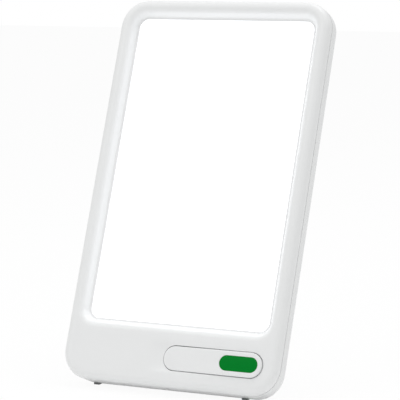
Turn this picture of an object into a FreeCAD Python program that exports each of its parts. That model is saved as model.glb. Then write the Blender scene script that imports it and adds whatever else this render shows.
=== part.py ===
import FreeCAD, Part
import Sketcher
import math
import os
from types import SimpleNamespace
from FreeCAD import Placement, Rotation, Vector

# Light therapy lamp, in millimetres.
# The case is modelled lying on its back: x to the right, y up along the face, z out of the face.
# The crest of the front is z = 0, so a depth behind the front is a negative z.

SIZES = {
    # Case
    "case_width": 155.0,
    "case_height": 265.0,
    "corner_radius": 19.0,
    "wall": 2.2,
    "skin": 2.0,
    "seam_depth": 7.0,
    "seam_groove": 0.7,
    "front_round": 4.5,
    "rear_round": 9.0,
    "base_round": 3.0,
    "tongue_wall": 1.0,
    "tongue_reach": 2.25,
    "fit_gap": 0.1,
    # Basin in the front cover
    "bezel_border": 7.9,
    "band_height": 37.4,
    "basin_depth": 6.4,
    "basin_slope": 62.0,
    "basin_wall": 2.0,
    "rim_round": 5.0,
    "floor_round": 2.0,
    "lip_wall": 1.0,
    # Stance
    "tilt": 21.2,
    "ground_gap": 0.5,
    # Light panel
    "panel_overlap": 2.6,
    "panel_corner": 3.0,
    "diffuser_thick": 1.5,
    "guide_thick": 3.0,
    "sheet_thick": 0.3,
    "tray_thick": 1.0,
    "guide_trim": 0.4,
    "strip_thick": 1.0,
    "strip_margin": 3.0,
    "lamp_length": 3.0,
    "lamp_width": 1.4,
    "lamp_thick": 0.9,
    "lamp_pitch": 5.0,
    "lamp_count": 41.0,
    "lamp_gap": 0.1,
    "tab_width": 9.0,
    "tab_screw_high": 2.9,
    "tab_screw_low": 4.4,
    "tab_margin": 2.9,
    "tray_screw_inset": 17.5,
    "tray_screw_top": 20.0,
    # Rocker
    "rocker_margin": 10.05,
    "rocker_up": 18.8,
    "rocker_length": 69.6,
    "rocker_height": 15.8,
    "rocker_gap": 0.3,
    "rocker_proud": 0.3,
    "rocker_skirt": 3.9,
    "rocker_top": 1.8,
    "rocker_wall": 1.5,
    "rocker_edge": 0.7,
    "rocker_swing": 1.8,
    "rocker_axis_depth": 5.6,
    "rocker_pin_radius": 1.0,
    "rocker_lug": 2.6,
    "inlay_length": 27.2,
    "inlay_height": 10.1,
    "inlay_inset": 2.6,
    "inlay_thick": 1.2,
    "collar_wall": 1.5,
    "scoop_length": 11.5,
    "scoop_depth": 1.1,
    "scoop_round": 1.0,
    "scoop_margin": 1.7,
    "scoop_reach": 8.3,
    "running_gap": 0.05,
    # Switch and driver board
    "board_depth": 13.0,
    "board_thick": 1.6,
    "board_clearance": 0.6,
    "board_left_margin": 39.5,
    "board_right_margin": 22.5,
    "board_low": 5.0,
    "board_high": 35.0,
    "switch_arm": 18.0,
    "switch_length": 12.8,
    "switch_width": 5.8,
    "switch_height": 6.5,
    "plunger_length": 2.9,
    "plunger_width": 1.6,
    "plunger_reach": 0.9,
    "plunger_seat": 1.6,
    "touch_gap": 0.1,
    # Fasteners
    "case_screw_inset": 9.5,
    "case_screw_low": 9.4,
    "case_screw_top_inset": 25.5,
    "case_screw_edge": 6.0,
    "post_radius": 2.5,
    "post_joint_depth": 12.0,
    "well_wall": 1.3,
    "well_depth": 6.5,
    "screw_head_radius": 2.6,
    "screw_head_thick": 1.9,
    "screw_radius": 1.4,
    "screw_length": 9.0,
    "small_head_radius": 2.0,
    "small_head_thick": 1.3,
    "small_screw_radius": 1.0,
    "small_screw_length": 6.0,
    "recess_cross": 0.7,
    # Supply socket
    "socket_inset": 21.5,
    "socket_up": 24.0,
    "socket_flange_radius": 5.6,
    "socket_flange_thick": 1.4,
    "socket_barrel_radius": 4.0,
    "socket_body_length": 10.5,
    "socket_bore_radius": 2.8,
    "socket_bore_depth": 9.0,
    "contact_radius": 1.0,
    "socket_nut_radius": 6.2,
    "socket_nut_thick": 2.0,
    # Stand
    "hinge_drop": 93.0,
    "hinge_cover": 2.4,
    "stand_width": 48.0,
    "stand_foot_width": 40.0,
    "stand_thick": 3.6,
    "stand_flush": 0.2,
    "stand_lean": 6.0,
    "stand_gap": 0.5,
    "stand_pad_length": 7.0,
    "stand_tongue": 3.0,
    "stand_tongue_thick": 1.6,
    "knuckle_radius": 2.1,
    "stand_pin_radius": 1.2,
    "stand_pin_seat": 4.0,
    "recess_depth": 5.0,
    "recess_wall": 1.8,
    "notch_radius": 9.0,
    "notch_depth": 3.2,
    "notch_up": 26.0,
    # Feet
    "foot_left_inset": 20.0,
    "foot_right_inset": 26.5,
    "foot_width": 4.4,
    "foot_margin": 1.2,
    "foot_length": 3.2,
    "foot_seat": 1.4,
    # Vents
    "vent_count": 11.0,
    "vent_pitch": 5.0,
    "vent_width": 1.8,
    "vent_length": 18.0,
    "vent_rise": 50.0,
}

doc = FreeCAD.newDocument("therapy_lamp")
sheet = doc.addObject("Spreadsheet::Sheet", "dims")
for row, (alias, number) in enumerate(SIZES.items(), 1):
    sheet.set("A%d" % row, alias)
    sheet.set("B%d" % row, str(number))
    sheet.setAlias("B%d" % row, alias)
doc.recompute()


class Size:
    """A number together with the sheet formula that gives it."""

    def __init__(self, number, text):
        self.number = number
        self.text = text

    def __add__(self, other):
        other = size(other)
        return Size(self.number + other.number, "(%s + %s)" % (self.text, other.text))

    def __sub__(self, other):
        other = size(other)
        return Size(self.number - other.number, "(%s - %s)" % (self.text, other.text))

    def __mul__(self, other):
        other = size(other)
        return Size(self.number * other.number, "(%s * %s)" % (self.text, other.text))

    def __truediv__(self, other):
        other = size(other)
        return Size(self.number / other.number, "(%s / %s)" % (self.text, other.text))

    def __radd__(self, other):
        return size(other) + self

    def __rsub__(self, other):
        return size(other) - self

    def __rmul__(self, other):
        return size(other) * self

    def __neg__(self):
        return size(0) - self


def size(value):
    """Wraps a plain number as a Size, and leaves a Size as it is."""
    return value if isinstance(value, Size) else Size(float(value), repr(float(value)))


def sine(angle):
    return Size(math.sin(math.radians(angle.number)), "sin(%s)" % angle.text)


def cosine(angle):
    return Size(math.cos(math.radians(angle.number)), "cos(%s)" % angle.text)


def tangent(angle):
    return Size(math.tan(math.radians(angle.number)), "tan(%s)" % angle.text)


d = SimpleNamespace(**{alias: Size(number, "dims." + alias) for alias, number in SIZES.items()})

# Places worked out from the sizes
half_width = d.case_width / 2
case_depth = d.board_depth + d.board_thick + d.board_clearance + d.recess_wall + d.recess_depth
lean = sine(d.tilt)
upright = cosine(d.tilt)
basin_run = d.basin_depth / tangent(d.basin_slope)
window_inset = basin_run + d.floor_round * tangent(d.basin_slope / 2)
window_side = half_width - d.bezel_border - window_inset
window_low = d.band_height + window_inset
window_high = d.case_height - d.bezel_border - window_inset
window_corner = d.corner_radius - d.bezel_border - window_inset
lip_back = d.basin_depth + d.lip_wall
panel_side = window_side + d.panel_overlap
panel_low = window_low - d.panel_overlap
panel_high = window_high + d.panel_overlap
guide_side = panel_side - d.guide_trim
lamp_front = guide_side + d.lamp_gap
strip_front = lamp_front + d.lamp_thick
tray_inner = strip_front + d.strip_thick
tray_side = tray_inner + d.tray_thick
tray_low = panel_low - d.guide_trim
tray_high = panel_high + d.guide_trim
guide_depth = lip_back + d.diffuser_thick
sheet_depth = guide_depth + d.guide_thick
tray_depth = sheet_depth + d.sheet_thick
tray_back = tray_depth + d.tray_thick
rocker_right = half_width - d.rocker_margin
rocker_left = rocker_right - d.rocker_length
rocker_centre = (rocker_left + rocker_right) / 2
cap_front = -d.rocker_proud
rocker_low = d.rocker_up - d.rocker_height / 2
rocker_high = d.rocker_up + d.rocker_height / 2
inlay_right = rocker_right - d.inlay_inset
switch_place = rocker_centre - d.switch_arm
board_left = d.board_left_margin - half_width
board_right = half_width - d.board_right_margin
socket_side = d.socket_inset - half_width
hinge_up = d.case_height - d.hinge_drop
hinge_depth = case_depth - d.hinge_cover
foot_back = case_depth - d.foot_margin
foot_front = foot_back - d.foot_length
foot_places = {"left": d.foot_left_inset - half_width, "right": half_width - d.foot_right_inset}
plunger_top = d.board_depth - d.switch_height - d.plunger_reach
case_screw_high = d.case_height - d.case_screw_edge
inner_back = case_depth - d.skin
recess_floor = case_depth - d.recess_depth
well_radius = d.screw_head_radius + d.touch_gap
stand_back = case_depth - d.stand_flush
stand_front = stand_back - d.stand_thick
bottom_corner = case_depth - d.base_round
lowest_wall = d.base_round * upright - bottom_corner * lean - d.base_round
ground = lowest_wall - d.ground_gap
hinge_height = hinge_up * upright - hinge_depth * lean - ground
stand_swing = d.tilt + d.stand_lean
front_reach = d.front_round * (lean + upright) - d.front_round
top_centre = d.case_height - d.rear_round
back_centre = case_depth - d.rear_round
back_reach = top_centre * lean + back_centre * upright + d.rear_round
shift = -(front_reach + back_reach) / 2

SLAB = "placement(vector(0; %s; %s); rotationx(90 - dims.tilt))" % (shift.text, (-ground).text)


def turned(axis, angle, x, y, depth):
    """The case's placement followed by a turn about an axis through a point of the case."""
    point = (size(x).text, size(y).text, (-size(depth)).text)
    there = "placement(vector(%s; %s; %s); rotation%s(%s))" % (point + (axis, angle.text))
    back = "placement(vector(0 - (%s); 0 - (%s); 0 - (%s)); rotationx(0))" % point
    return "%s * %s * %s" % (SLAB, there, back)


# Sketch and feature helpers

def new_body(label):
    body = doc.addObject("PartDesign::Body", label)
    body.Label = label
    body.AllowCompound = True
    return body


def new_sketch(body, name, role="XY_Plane", offset=0):
    """A sketch on one of the body's own origin planes, moved along the plane's normal."""
    plane = [item for item in body.Origin.OriginFeatures if item.Role == role][0]
    sketch = body.newObject("Sketcher::SketchObject", body.Label + "_" + name)
    sketch.AttachmentSupport = [(plane, "")]
    sketch.MapMode = "FlatFace"
    sketch.setExpression("AttachmentOffset.Base.z", size(offset).text)
    return sketch


def hold(sketch, kind, geometry, point, value):
    """Holds one coordinate of a point at a size, measured from the sketch's origin."""
    index = sketch.addConstraint(Sketcher.Constraint(kind, -1, 1, geometry, point, value.number))
    sketch.setExpression("Constraints[%d]" % index, value.text)


def hold_radius(sketch, geometry, value):
    index = sketch.addConstraint(Sketcher.Constraint("Radius", geometry, value.number))
    sketch.setExpression("Constraints[%d]" % index, value.text)


def arc(x, y, radius, start, end):
    circle = Part.Circle(Vector(x, y, 0), Vector(0, 0, 1), radius)
    return Part.ArcOfCircle(circle, math.radians(start), math.radians(end))


def rounded(sketch, left, right, low, high, radius):
    """A rectangle with four round corners."""
    left, right, low, high, radius = [size(v) for v in (left, right, low, high, radius)]
    x0, x1, y0, y1, r = left.number, right.number, low.number, high.number, radius.number
    sides = [
        ((x0 + r, y0), (x1 - r, y0)),
        ((x1, y0 + r), (x1, y1 - r)),
        ((x1 - r, y1), (x0 + r, y1)),
        ((x0, y1 - r), (x0, y0 + r)),
    ]
    corners = [(x1 - r, y0 + r, -90), (x1 - r, y1 - r, 0), (x0 + r, y1 - r, 90), (x0 + r, y0 + r, 180)]
    first = sketch.GeometryCount
    for (start, end), (x, y, angle) in zip(sides, corners):
        sketch.addGeometry(Part.LineSegment(Vector(*start, 0), Vector(*end, 0)))
        sketch.addGeometry(arc(x, y, r, angle, angle + 90))
    for step in range(8):
        here = first + step
        following = first + (step + 1) % 8
        sketch.addConstraint(Sketcher.Constraint("Tangent", here, 2, following, 1))
    for step, kind in ((0, "Horizontal"), (2, "Vertical"), (4, "Horizontal"), (6, "Vertical")):
        sketch.addConstraint(Sketcher.Constraint(kind, first + step))
    for step in (3, 5, 7):
        sketch.addConstraint(Sketcher.Constraint("Equal", first + 1, first + step))
    hold_radius(sketch, first + 1, radius)
    hold(sketch, "DistanceY", first, 1, low)
    hold(sketch, "DistanceX", first + 2, 1, right)
    hold(sketch, "DistanceY", first + 4, 1, high)
    hold(sketch, "DistanceX", first + 6, 1, left)


def pill(sketch, left, right, low, high):
    """A slot with full round ends."""
    left, right, low, high = [size(v) for v in (left, right, low, high)]
    radius = (high - low) / 2
    middle = (high + low) / 2
    r = radius.number
    first = sketch.GeometryCount
    x0, x1 = left.number + r, right.number - r
    sketch.addGeometry(Part.LineSegment(Vector(x0, low.number, 0), Vector(x1, low.number, 0)))
    sketch.addGeometry(arc(x1, middle.number, r, -90, 90))
    sketch.addGeometry(Part.LineSegment(Vector(x1, high.number, 0), Vector(x0, high.number, 0)))
    sketch.addGeometry(arc(x0, middle.number, r, 90, 270))
    for step in range(4):
        sketch.addConstraint(Sketcher.Constraint("Tangent", first + step, 2, first + (step + 1) % 4, 1))
    sketch.addConstraint(Sketcher.Constraint("Horizontal", first))
    sketch.addConstraint(Sketcher.Constraint("Equal", first + 1, first + 3))
    hold_radius(sketch, first + 1, radius)
    hold(sketch, "DistanceX", first + 1, 3, right - radius)
    hold(sketch, "DistanceY", first + 1, 3, middle)
    hold(sketch, "DistanceX", first + 3, 3, left + radius)


def disc(sketch, x, y, radius):
    x, y, radius = size(x), size(y), size(radius)
    index = sketch.addGeometry(Part.Circle(Vector(x.number, y.number, 0), Vector(0, 0, 1), radius.number))
    hold_radius(sketch, index, radius)
    hold(sketch, "DistanceX", index, 3, x)
    hold(sketch, "DistanceY", index, 3, y)


def polygon(sketch, points):
    """A closed outline of straight sides through the points."""
    points = [(size(x), size(y)) for x, y in points]
    first = sketch.GeometryCount
    count = len(points)
    for step in range(count):
        (ax, ay), (bx, by) = points[step], points[(step + 1) % count]
        start = Vector(ax.number, ay.number, 0)
        sketch.addGeometry(Part.LineSegment(start, Vector(bx.number, by.number, 0)))
    for step in range(count):
        following = first + (step + 1) % count
        sketch.addConstraint(Sketcher.Constraint("Coincident", first + step, 2, following, 1))
    for step, (x, y) in enumerate(points):
        hold(sketch, "DistanceX", first + step, 1, x)
        hold(sketch, "DistanceY", first + step, 1, y)


def box(sketch, left, right, low, high):
    polygon(sketch, [(left, low), (right, low), (right, high), (left, high)])


def pad(body, sketch, length, down=False, taper=None, midplane=False):
    feature = body.newObject("PartDesign::Pad", sketch.Name + "_pad")
    feature.Profile = sketch
    feature.setExpression("Length", size(length).text)
    feature.Reversed = down
    feature.Midplane = midplane
    if taper:
        feature.setExpression("TaperAngle", taper.text)
    return feature


def pocket(body, sketch, length, up=False, taper=None, midplane=False):
    feature = body.newObject("PartDesign::Pocket", sketch.Name + "_cut")
    feature.Profile = sketch
    feature.setExpression("Length", size(length).text)
    feature.Reversed = up
    feature.Midplane = midplane
    if taper:
        feature.setExpression("TaperAngle", taper.text)
    return feature


def layer(body, name, shape, front, back):
    """A straight block of an outline, between two depths."""
    sketch = new_sketch(body, name, offset=-size(front))
    shape(sketch)
    return pad(body, sketch, size(back) - front, down=True)


def opening(body, name, shape, front, back):
    """A straight cut of an outline, between two depths, that has to remove something."""
    sketch = new_sketch(body, name, offset=-size(front))
    shape(sketch)
    return pocket(body, sketch, size(back) - front)


def round_edges(body, name, radius, wanted, kind="PartDesign::Fillet"):
    """Rounds the edges of the body's tip that pass the test."""
    doc.recompute()
    base = body.Tip
    names = ["Edge%d" % i for i, edge in enumerate(base.Shape.Edges, 1) if wanted(edge)]
    feature = body.newObject(kind, body.Label + "_" + name)
    feature.Base = (base, names)
    feature.setExpression("Radius" if kind.endswith("Fillet") else "Size", size(radius).text)
    return feature


def flat_at(depth, reach=None):
    """A test for edges that lie level at a depth, and whose middle passes a second test."""
    level = -size(depth).number

    def wanted(edge):
        bounds = edge.BoundBox
        if abs(bounds.ZMin - level) > 0.001 or abs(bounds.ZMax - level) > 0.001:
            return False
        return reach is None or reach(edge.CenterOfMass)

    return wanted


def within_basin(margin):
    """A test for points inside the basin's outline, moved outwards by a margin."""
    side = (half_width - d.bezel_border).number + margin
    low = d.band_height.number - margin
    high = (d.case_height - d.bezel_border).number + margin
    return lambda p: abs(p.x) < side and low < p.y < high


def stand_up(item, expression=SLAB):
    item.setExpression("Placement", expression)
    return item


def case_outline(sketch, inset):
    inset = size(inset)
    side = half_width - inset
    rounded(sketch, -side, side, inset, d.case_height - inset, d.corner_radius - inset)


def basin_outline(sketch, inset):
    """The basin's outline at the front, moved inwards by an inset."""
    inset = size(inset)
    side = half_width - d.bezel_border - inset
    high = d.case_height - d.bezel_border - inset
    corner = d.corner_radius - d.bezel_border - inset
    rounded(sketch, -side, side, d.band_height + inset, high, corner)


def case_screw_places():
    low = [(side * (half_width - d.case_screw_inset), d.case_screw_low) for side in (-1, 1)]
    high = [(side * (half_width - d.case_screw_top_inset), case_screw_high) for side in (-1, 1)]
    return low + high


def tray_screw_places():
    low = [(side * (half_width - d.tray_screw_inset), tray_low - d.tab_screw_low) for side in (-1, 1)]
    high = [(side * d.tray_screw_top, tray_high + d.tab_screw_high) for side in (-1, 1)]
    return low + high


def board_screw_places():
    left = (board_left + d.well_wall * 3, d.board_high - d.well_wall * 3)
    right = (board_right - d.well_wall * 3, d.board_high - d.well_wall * 3)
    return [left, right]


# Front cover: a rim, the basin round the light panel, the band with the rocker's place

def front_cover():
    body = new_body("front_cover")
    edge_depth = d.seam_depth - d.seam_groove / 2
    layer(body, "outline", lambda s: case_outline(s, 0), 0, edge_depth)
    round_edges(body, "front_edge", d.front_round, flat_at(0))
    hollow = new_sketch(body, "hollow", offset=-edge_depth)
    case_outline(hollow, d.wall)
    pocket(body, hollow, edge_depth - d.skin, up=True)
    plug_front = d.skin / 2
    plug_inset = plug_front / tangent(d.basin_slope) - d.basin_wall / sine(d.basin_slope)
    slope_taper = d.basin_slope - 90
    plug = new_sketch(body, "plug", offset=-plug_front)
    basin_outline(plug, plug_inset)
    pad(body, plug, lip_back - plug_front, down=True, taper=slope_taper)
    basin = new_sketch(body, "basin")
    basin_outline(basin, 0)
    pocket(body, basin, d.basin_depth, taper=slope_taper)
    round_edges(body, "rim", d.rim_round, flat_at(0, within_basin(0.5)))
    round_edges(body, "floor", d.floor_round, flat_at(d.basin_depth, within_basin(0)))
    opening(body, "window", lambda s: basin_outline(s, window_inset), d.basin_depth / 2, lip_back + d.skin)
    # Tongue that enters the rear cover
    tongue_inset = d.tongue_wall + 2 * d.fit_gap

    def tongue_ring(sketch):
        case_outline(sketch, tongue_inset)
        case_outline(sketch, tongue_inset + d.tongue_wall)

    layer(body, "tongue", tongue_ring, edge_depth - d.skin / 2, d.seam_depth + d.tongue_reach)
    # Collar and backing of the rocker's opening
    gap = d.rocker_gap
    ring = gap + d.collar_wall

    def collar(sketch):
        pill(sketch, rocker_left - ring, rocker_right + ring, rocker_low - ring, rocker_high + ring)

    def backing(sketch):
        left = rocker_left - d.scoop_length - d.collar_wall
        side = d.scoop_margin + d.collar_wall
        box(sketch, left, rocker_left + d.scoop_reach, rocker_low - side, rocker_high + side)

    layer(body, "collar", collar, plug_front, d.rocker_skirt + d.fit_gap)
    layer(body, "backing", backing, plug_front, d.skin + d.scoop_depth)
    scoop = new_sketch(body, "scoop", "XZ_Plane", -d.rocker_up)
    deep_left = rocker_left - gap
    polygon(scoop, [
        (rocker_left - d.scoop_length, size(0)),
        (deep_left, -d.scoop_depth),
        (rocker_left + d.scoop_reach, -d.scoop_depth),
        (rocker_left + d.scoop_reach, size(1)),
        (rocker_left - d.scoop_length, size(1)),
    ])
    pocket(body, scoop, d.rocker_height + 2 * d.scoop_margin, midplane=True)
    scoop_half = (d.rocker_height / 2 + d.scoop_margin).number
    scoop_level = -d.scoop_depth.number

    def scoop_floor_edge(edge):
        bounds = edge.BoundBox
        side = abs(abs(edge.CenterOfMass.y - d.rocker_up.number) - scoop_half) < 0.001
        inside = bounds.XMax < (rocker_left + d.scoop_reach).number + 0.001
        return side and inside and bounds.YLength < 0.001 and bounds.ZMin > scoop_level - 0.001 \
            and bounds.ZMin < -0.001 and bounds.XLength > 1

    round_edges(body, "scoop_floor", d.scoop_round, scoop_floor_edge)

    def rocker_hole(sketch):
        pill(sketch, rocker_left - gap, rocker_right + gap, rocker_low - gap, rocker_high + gap)

    opening(body, "rocker_hole", rocker_hole, 0, case_depth / 2)
    # Posts that carry the rocker's pin
    post_inner = d.rocker_height / 2 + ring
    post_outer = post_inner + d.rocker_lug

    def pin_posts(sketch):
        for side in (-1, 1):
            ends = (d.rocker_up + side * post_inner, d.rocker_up + side * post_outer)
            low, high = ends if side > 0 else (ends[1], ends[0])
            box(sketch, rocker_centre - d.rocker_lug, rocker_centre + d.rocker_lug, low, high)

    post_depth = d.rocker_axis_depth + d.rocker_pin_radius + d.rocker_lug / 2
    layer(body, "pin_posts", pin_posts, plug_front, post_depth)
    pin_hole = new_sketch(body, "pin_hole", "XZ_Plane", -d.rocker_up)
    disc(pin_hole, rocker_centre, -d.rocker_axis_depth, d.rocker_pin_radius)
    pocket(body, pin_hole, 2 * post_outer + 1, midplane=True)
    # Screw posts with pilot holes
    groups = [
        ("case_posts", case_screw_places(), d.post_joint_depth, d.screw_radius),
        ("tray_posts", tray_screw_places(), tray_depth, d.small_screw_radius),
        ("board_posts", board_screw_places(), d.board_depth, d.small_screw_radius),
    ]
    for name, places, back, radius in groups:
        for number, (x, y) in enumerate(places):
            post = name + str(number)
            front = d.skin - d.fit_gap
            layer(body, post, lambda s, x=x, y=y: disc(s, x, y, d.post_radius), front, back)
            hole = radius + d.running_gap
            opening(body, post + "_hole", lambda s, x=x, y=y: disc(s, x, y, hole), d.skin * 1.5, back)
    return stand_up(body)


# Rear cover: a shell with the stand's recess, screw wells, the socket's hole and vents

def shell_edges(shape, level, side_round, low_round, low_edge):
    """Each level edge with the rounding at its two ends, small along the bottom side."""
    found = []
    for index, edge in enumerate(shape.Edges, 1):
        bounds = edge.BoundBox
        if abs(bounds.ZMin - level) < 0.001 and abs(bounds.ZMax - level) < 0.001:
            ends = [edge.valueAt(p) for p in (edge.FirstParameter, edge.LastParameter)]
            rounds = [low_round if abs(end.y - low_edge) < 0.001 else side_round for end in ends]
            found.append((index, rounds[0], rounds[1]))
    return found


def rounded_block(name, inset, front, back, side_round, low_round):
    """A block of the case's outline whose back edge is rounded more along the sides than below."""
    sketch = doc.addObject("Sketcher::SketchObject", name + "_outline")
    case_outline(sketch, inset)
    sketch.setExpression("Placement", "placement(vector(0; 0; %s); rotationx(0))" % (-size(back)).text)
    block = doc.addObject("Part::Extrusion", name + "_block")
    block.Base = sketch
    block.DirMode = "Custom"
    block.Dir = Vector(0, 0, 1)
    block.setExpression("LengthFwd", (size(back) - front).text)
    block.Solid = True
    doc.recompute()
    rounded_off = doc.addObject("Part::Fillet", name + "_rounded")
    rounded_off.Base = block
    level = -size(back).number
    rounds = (side_round.number, low_round.number)
    rounded_off.Edges = shell_edges(block.Shape, level, rounds[0], rounds[1], size(inset).number)
    doc.recompute()
    return rounded_off


def recess_outline(sketch, margin):
    margin = size(margin)
    side = d.stand_width / 2 + d.stand_gap + margin
    low = hinge_up - stand_length(stand_back) - d.stand_gap - margin
    high = hinge_up + heel_reach() + 3 * d.stand_gap + margin
    rounded(sketch, -side, side, low, high, d.stand_gap * 2 + margin)


def stand_length(depth):
    """How far down from the hinge the stand reaches the ground, at a depth when folded."""
    return (hinge_height + (size(depth) - hinge_depth) * sine(d.stand_lean)) / cosine(d.stand_lean)


def heel_reach():
    """How far the stand's heel passes its hinge, so that it meets the recess floor when open."""
    room = hinge_depth - recess_floor - d.touch_gap
    near = hinge_depth - stand_front
    return (room - near * cosine(stand_swing)) / sine(stand_swing)


def well_tubes():
    """The tubes round the screw wells, cut off half way through the back's skin, rounds included."""
    shallow = [d.rear_round - d.wall / 2, d.base_round - d.wall / 2]
    limit = rounded_block("well_limit", d.wall / 2, 0, inner_back + d.skin / 2, *shallow)
    circles = doc.addObject("Sketcher::SketchObject", "well_circles")
    for x, y in case_screw_places():
        disc(circles, x, y, well_radius + d.well_wall)
    circles.setExpression("Placement", "placement(vector(0; 0; %s); rotationx(0))" % (-case_depth).text)
    tubes = doc.addObject("Part::Extrusion", "well_tubes")
    tubes.Base = circles
    tubes.DirMode = "Custom"
    tubes.Dir = Vector(0, 0, 1)
    tubes.setExpression("LengthFwd", (d.well_depth + d.well_wall).text)
    tubes.Solid = True
    trimmed = doc.addObject("Part::Common", "well_tubes_trimmed")
    trimmed.Base = limit
    trimmed.Tool = tubes
    return trimmed


def rear_cover():
    start = d.seam_depth + d.seam_groove / 2
    outer = rounded_block("rear_outer", 0, start, case_depth, d.rear_round, d.base_round)
    inner_side = d.rear_round - d.wall
    inner_low = d.base_round - d.wall
    inner = rounded_block("rear_inner", d.wall, 0, inner_back, inner_side, inner_low)
    shell = doc.addObject("Part::Cut", "rear_shell")
    shell.Base = outer
    shell.Tool = inner
    joined = doc.addObject("Part::Fuse", "rear_shell_and_tubes")
    joined.Base = shell
    joined.Tool = well_tubes()
    doc.recompute()
    body = new_body("rear_cover")
    body.BaseFeature = joined
    doc.recompute()

    # Rebate for the front cover's tongue
    def rebate(sketch):
        case_outline(sketch, d.tongue_wall + d.fit_gap)

    opening(body, "rebate", rebate, d.seam_depth / 2, d.seam_depth + d.tongue_reach + d.fit_gap)
    # Recess for the folded stand
    block_front = recess_floor - d.recess_wall
    layer(body, "recess_block", lambda s: recess_outline(s, d.recess_wall), block_front, inner_back + d.skin / 2)

    def knuckle_seats(sketch):
        for side in (-1, 1):
            near = d.stand_width / 2 + d.stand_gap
            ends = (side * near, side * (near + d.stand_pin_seat))
            left, right = ends if side > 0 else (ends[1], ends[0])
            box(sketch, left, right, hinge_up - d.stand_pin_seat, hinge_up + d.stand_pin_seat)

    layer(body, "pin_seats", knuckle_seats, block_front, inner_back + d.skin / 2)
    opening(body, "recess", lambda s: recess_outline(s, 0), recess_floor, case_depth + 1)

    def finger_notch(sketch):
        disc(sketch, d.stand_width / 2 + d.stand_gap, d.notch_up, d.notch_radius)

    notch_front = case_depth - d.notch_depth

    def notch_backing(sketch):
        disc(sketch, d.stand_width / 2 + d.stand_gap, d.notch_up, d.notch_radius + d.recess_wall)

    layer(body, "notch_backing", notch_backing, notch_front - d.recess_wall, inner_back + d.skin / 2)
    opening(body, "notch", finger_notch, notch_front, case_depth + 1)
    opening(body, "recess_again", lambda s: recess_outline(s, 0), recess_floor, case_depth + 1)
    pin_hole = new_sketch(body, "pin_hole", "YZ_Plane")
    disc(pin_hole, hinge_up, -hinge_depth, d.stand_pin_radius)
    pin_span = d.stand_width + 2 * d.stand_gap + 2 * (d.stand_pin_seat - d.fit_gap * 5)
    pocket(body, pin_hole, pin_span, midplane=True)
    # Screw wells
    seat = case_depth - d.well_depth
    for number, (x, y) in enumerate(case_screw_places()):
        post = "well%d" % number
        slim_end = seat - d.well_wall
        slim = d.post_radius + d.fit_gap
        layer(body, post + "_nose", lambda s, x=x, y=y: disc(s, x, y, slim), d.post_joint_depth, slim_end)
        opening(body, post + "_bore", lambda s, x=x, y=y: disc(s, x, y, well_radius), seat, case_depth + 1)
        shank = d.screw_radius + d.fit_gap
        opening(body, post + "_shank", lambda s, x=x, y=y: disc(s, x, y, shank), d.post_joint_depth, seat)
    # Supply socket's hole and counterbore
    flange = d.socket_flange_radius + d.fit_gap
    barrel = d.socket_barrel_radius + d.fit_gap
    sink = case_depth - d.socket_flange_thick

    def socket_boss(sketch):
        disc(sketch, socket_side, d.socket_up, d.socket_nut_radius + d.well_wall)

    layer(body, "socket_boss", socket_boss, sink - d.well_wall, inner_back + d.skin / 2)
    opening(body, "socket_sink", lambda s: disc(s, socket_side, d.socket_up, flange), sink, case_depth + 1)
    opening(body, "socket_hole", lambda s: disc(s, socket_side, d.socket_up, barrel), inner_back - d.skin * 2, sink)
    # Pockets for the feet
    for side, place in foot_places.items():
        pocket_sketch = new_sketch(body, "foot_pocket_" + side, "YZ_Plane", place)
        polygon(pocket_sketch, [
            (-d.foot_seat, -foot_back),
            (d.foot_seat, -foot_back),
            (d.foot_seat, -foot_front),
            (-d.foot_seat, -foot_front),
        ])
        pocket(body, pocket_sketch, d.foot_width, midplane=True)
    # Vents: a row of upright slots above the stand
    first = -(d.vent_count - 1) / 2 * d.vent_pitch

    def vent(sketch):
        half = d.vent_width / 2
        low = (hinge_up + d.vent_rise) - d.vent_length / 2
        rounded(sketch, first - half, first + half, low, low + d.vent_length, half * 0.9)

    slot = opening(body, "vent", vent, inner_back - d.skin, case_depth + 1)
    repeat(body, slot, "vents", "X_Axis", (d.vent_count - 1) * d.vent_pitch, d.vent_count)
    return stand_up(body)


def repeat(body, feature, name, axis_role, length, count):
    """Repeats a feature in a row along one of the body's own axes."""
    axis = [item for item in body.Origin.OriginFeatures if item.Role == axis_role][0]
    pattern = body.newObject("PartDesign::LinearPattern", body.Label + "_" + name)
    pattern.Originals = [feature]
    pattern.Direction = (axis, [""])
    pattern.setExpression("Length", size(length).text)
    pattern.setExpression("Occurrences", size(count).text)
    body.Tip = pattern
    return pattern


# Light panel: diffuser, light guide, reflector, lamp strips and the metal tray behind them

def panel_sheet(label, side, low, high, front, back):
    body = new_body(label)
    layer(body, "sheet", lambda s: rounded(s, -side, side, low, high, d.panel_corner), front, back)
    return stand_up(body)


def tray():
    body = new_body("heat_tray")

    def plate(sketch):
        box(sketch, -tray_side, tray_side, tray_low, tray_high)

    layer(body, "plate", plate, tray_depth, tray_back)
    for number, side in enumerate((-1, 1)):
        left, right = (tray_inner, tray_side) if side > 0 else (-tray_side, -tray_inner)
        layer(body, "flange%d" % number, lambda s: box(s, left, right, tray_low, tray_high), guide_depth, tray_back)
    for number, (x, y) in enumerate(tray_screw_places()):
        low, high = (y - d.tab_margin, tray_low + 1) if number < 2 else (tray_high - 1, y + d.tab_margin)
        left = x - d.tab_width / 2
        tab = "tab%d" % number
        layer(body, tab, lambda s: box(s, left, left + d.tab_width, low, high), tray_depth, tray_back)
        hole = d.small_screw_radius + d.fit_gap
        opening(body, tab + "_hole", lambda s, x=x, y=y: disc(s, x, y, hole), tray_depth, tray_back)
    return stand_up(body)


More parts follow.
